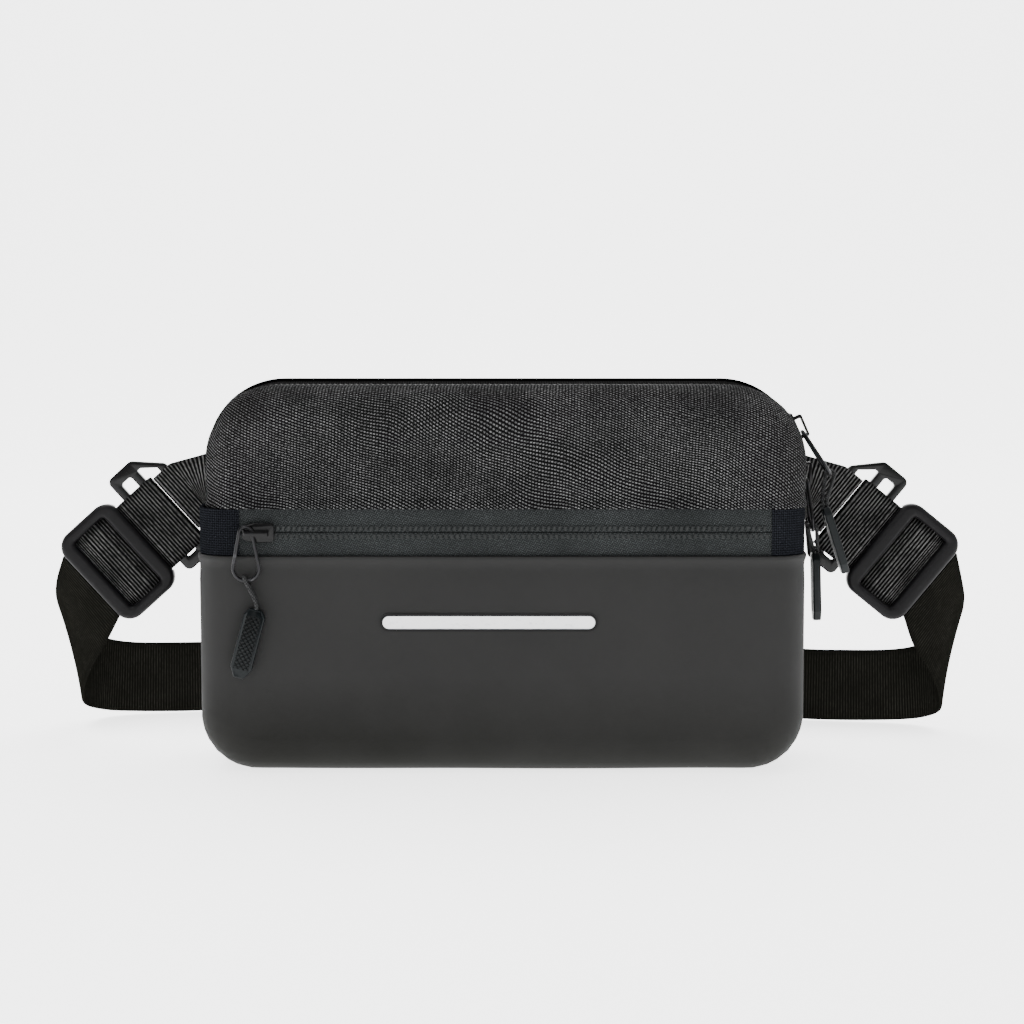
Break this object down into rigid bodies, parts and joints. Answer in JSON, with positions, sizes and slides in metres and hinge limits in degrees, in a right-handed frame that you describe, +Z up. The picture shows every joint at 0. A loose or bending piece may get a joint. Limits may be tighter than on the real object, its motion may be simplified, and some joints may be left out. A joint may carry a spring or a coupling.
{
  "type": "waist bag with webbing belt",
  "caption": "Rounded zipped waist bag with a zipped front pocket, reflective bar, padded back and an adjustable webbing belt on slotted rings with a side-release buckle.",
  "frame": {"origin": "centre of the flat base that the bag stands on", "axes": "+X to the right as seen from the front, +Y from the front face to the back, +Z up"},
  "size_m": [0.4301, 0.1529, 0.1716],
  "materials": {
    "upper_weave": "coarse diagonal basket weave, near black with grey threads",
    "coated_cloth": "matte coated cloth, dark charcoal",
    "side_cloth": "plain weave, black",
    "back_cloth": "plain weave, black",
    "air_mesh": "spacer mesh over foam, black",
    "piping": "bound seam tape, black",
    "tape": "diagonal weave zip tape, greenish dark grey",
    "chain": "moulded coil, dark grey",
    "end_tab": "woven tab, blue black",
    "lining": "thin plain lining, grey",
    "foam": "closed-cell foam sheet",
    "board": "stiff sheet",
    "reflective": "white reflective film",
    "strip_edge": "black heat-sealed edge",
    "slider_metal": "black enamel, worn at edges",
    "wire": "gunmetal wire",
    "cord": "braided cord, black",
    "grip": "knurled moulded grip, blue black",
    "ring_metal": "glossy black loop plate",
    "adjuster_metal": "satin dark grey",
    "webbing": "ribbed webbing, black",
    "buckle": "moulded acetal, black"
  },
  "bodies": {
    "bag": {"front_upper_panel": "upper_weave", "front_lower_panel": "coated_cloth", "base_gusset": "side_cloth", "rear_gusset": "side_cloth", "back_panel": "back_cloth", "back_pad_lower": "air_mesh", "back_pad_upper": "air_mesh", "rear_piping": "piping", "reflective_strip": "reflective", "reflective_strip_frame": "strip_edge", "front_zip_tape_upper": "tape", "front_zip_tape_lower": "tape", "front_zip_chain": "chain", "front_zip_tab_left": "end_tab", "front_zip_tab_right": "end_tab", "front_pocket_lining": "lining", "pocket_divider": "foam", "main_zip_tape_front": "tape", "main_zip_tape_rear": "tape", "main_zip_chain": "chain", "main_lining": "lining", "back_board": "foam", "base_board": "board", "buckle_housing": "buckle", "left_ring": "ring_metal", "left_belt_loop": "webbing", "left_belt": "webbing", "left_wing": "webbing", "right_ring": "ring_metal", "right_belt_loop": "webbing", "right_belt": "webbing", "right_wing": "webbing"},
    "front_slider": {"front_slider": "slider_metal"},
    "front_bail": {"front_bail": "wire"},
    "front_pull": {"front_pull_cord": "cord", "front_grip": "grip"},
    "upper_slider": {"upper_slider": "slider_metal"},
    "upper_bail": {"upper_bail": "wire"},
    "upper_pull": {"upper_pull_cord": "cord", "upper_grip": "grip"},
    "lower_slider": {"lower_slider": "slider_metal"},
    "lower_bail": {"lower_bail": "wire"},
    "lower_pull": {"lower_pull_cord": "cord", "lower_grip": "grip"},
    "left_adjuster": {"left_adjuster": "adjuster_metal"},
    "right_adjuster": {"right_adjuster": "adjuster_metal"},
    "buckle_plug": {"buckle_plug": "buckle"},
    "prong_upper": {"buckle_prong_upper": "buckle"},
    "prong_lower": {"buckle_prong_lower": "buckle"}
  },
  "joints": [
    {"name": "front_zip_slide", "type": "slide", "parent": "bag", "child": "front_slider", "axis": [1, 0, 0], "range_m": [0, 0.212]},
    {"name": "front_bail_swing", "type": "hinge", "parent": "front_slider", "child": "front_bail", "pos_m": [-0.1107, -0.0383, 0.1068], "axis": [0, 1, 0], "range_deg": [-28, 75]},
    {"name": "front_grip_lift", "type": "hinge", "parent": "front_bail", "child": "front_pull", "pos_m": [-0.1107, -0.0383, 0.0862], "axis": [-1, 0, 0], "range_deg": [0, 90]},
    {"name": "upper_zip_corner_turn", "type": "hinge", "parent": "bag", "child": "upper_slider", "pos_m": [0.0995, 0.004, 0.136], "axis": [0, -1, 0], "range_deg": [0, 64]},
    {"name": "upper_bail_swing", "type": "hinge", "parent": "upper_slider", "child": "upper_bail", "pos_m": [0.13484, 0.004, 0.14834], "axis": [0, -1, 0], "range_deg": [0, 55]},
    {"name": "upper_grip_swing", "type": "hinge", "parent": "upper_bail", "child": "upper_pull", "pos_m": [0.14758, 0.004, 0.12871], "axis": [0, -1, 0], "range_deg": [0, 70]},
    {"name": "lower_zip_slide", "type": "slide", "parent": "bag", "child": "lower_slider", "axis": [0, 0, -1], "range_m": [0, 0.029]},
    {"name": "lower_bail_swing", "type": "hinge", "parent": "lower_slider", "child": "lower_bail", "pos_m": [0.1368, 0.004, 0.1269], "axis": [0, -1, 0], "range_deg": [0, 3]},
    {"name": "lower_grip_swing", "type": "hinge", "parent": "lower_bail", "child": "lower_pull", "pos_m": [0.14006, 0.004, 0.10373], "axis": [0, -1, 0], "range_deg": [0, 60]},
    {"name": "left_adjuster_slide", "type": "slide", "parent": "bag", "child": "left_adjuster", "axis": [0.7431, 0, 0.6691], "range_m": [-0.006, 0.0035], "deforming": ["left_belt_loop", "left_belt"]},
    {"name": "right_adjuster_slide", "type": "slide", "parent": "bag", "child": "right_adjuster", "axis": [-0.7771, 0, 0.6293], "range_m": [-0.006, 0.0035], "deforming": ["right_belt_loop", "right_belt"]},
    {"name": "buckle_plug_slide", "type": "slide", "parent": "bag", "child": "buckle_plug", "axis": [1, 0, 0], "range_m": [0, 0.027], "deforming": ["right_belt", "buckle_prong_upper", "buckle_prong_lower"]},
    {"name": "prong_upper_squeeze", "type": "hinge", "parent": "buckle_plug", "child": "prong_upper", "pos_m": [0.015, 0.105, 0.037], "axis": [0, -1, 0], "range_deg": [0, 8], "stiffness_Nm_per_rad": 0.2},
    {"name": "prong_lower_squeeze", "type": "hinge", "parent": "buckle_plug", "child": "prong_lower", "pos_m": [0.015, 0.105, 0.011], "axis": [0, 1, 0], "range_deg": [0, 8], "stiffness_Nm_per_rad": 0.2}
  ],
  "couplings": [
    {"joint": "prong_lower_squeeze", "follows": "prong_upper_squeeze", "ratio": 1}
  ]
}
